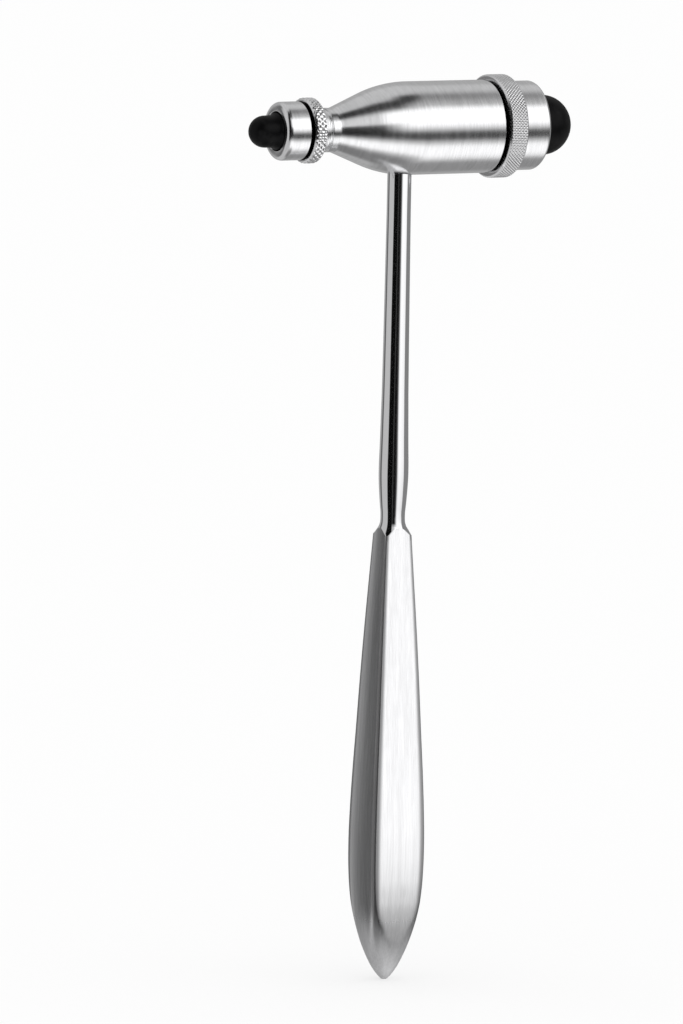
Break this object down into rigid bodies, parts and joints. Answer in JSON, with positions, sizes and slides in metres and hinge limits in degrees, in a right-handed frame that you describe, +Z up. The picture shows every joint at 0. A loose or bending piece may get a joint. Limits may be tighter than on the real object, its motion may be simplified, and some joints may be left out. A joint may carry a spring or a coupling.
{
  "type": "reflex hammer",
  "caption": "Double-ended percussion hammer: steel head with a large and a small rubber mallet in screw caps, knurled lock rings, and a slim handle with a tapering square grip.",
  "frame": {"origin": "centre of the small flat on the tip of the handle", "axes": "+Z up the handle to the head; +X along the head towards the large mallet; the grip's flats face X and Y"},
  "size_m": [0.0969, 0.0278, 0.2449],
  "materials": {
    "satin_steel": "fine turned satin",
    "knurled_steel": "diamond knurl with bright crests",
    "polished_steel": "mirror-polished shaft, satin grip brushed lengthwise",
    "black_steel": "black oxide",
    "black_rubber": "smooth, slightly glossy"
  },
  "bodies": {
    "head": {"head_body": "satin_steel", "handle": "polished_steel", "handle_grub_screw": "black_steel"},
    "large_lock_ring": {"large_lock_ring": "knurled_steel"},
    "large_mallet": {"large_mallet": "black_rubber"},
    "large_cap": {"large_cap": "satin_steel"},
    "small_lock_ring": {"small_lock_ring": "knurled_steel"},
    "small_mallet": {"small_mallet": "black_rubber"},
    "small_cap": {"small_cap": "satin_steel"}
  },
  "joints": [
    {"name": "large_lock_ring_turn", "type": "hinge", "parent": "head", "child": "large_lock_ring", "pos_m": [0.03, 0, 0.231], "axis": [1, 0, 0], "range_deg": [-300, 0]},
    {"name": "large_mallet_slide", "type": "slide", "parent": "head", "child": "large_mallet", "axis": [1, 0, 0], "range_m": [0, 0.0032]},
    {"name": "large_cap_turn", "type": "hinge", "parent": "large_mallet", "child": "large_cap", "pos_m": [0.037, 0, 0.231], "axis": [1, 0, 0], "range_deg": [0, 1152.1]},
    {"name": "small_lock_ring_turn", "type": "hinge", "parent": "head", "child": "small_lock_ring", "pos_m": [-0.0285, 0, 0.231], "axis": [-1, 0, 0], "range_deg": [0, 300]},
    {"name": "small_mallet_slide", "type": "slide", "parent": "head", "child": "small_mallet", "axis": [-1, 0, 0], "range_m": [0, 0.0029]},
    {"name": "small_cap_turn", "type": "hinge", "parent": "small_mallet", "child": "small_cap", "pos_m": [-0.0345, 0, 0.231], "axis": [-1, 0, 0], "range_deg": [0, 1044.1]}
  ],
  "couplings": [
    {"joint": "large_cap_turn", "follows": "large_mallet_slide", "rad_per_m": 6283.2},
    {"joint": "small_cap_turn", "follows": "small_mallet_slide", "rad_per_m": 6283.2}
  ]
}
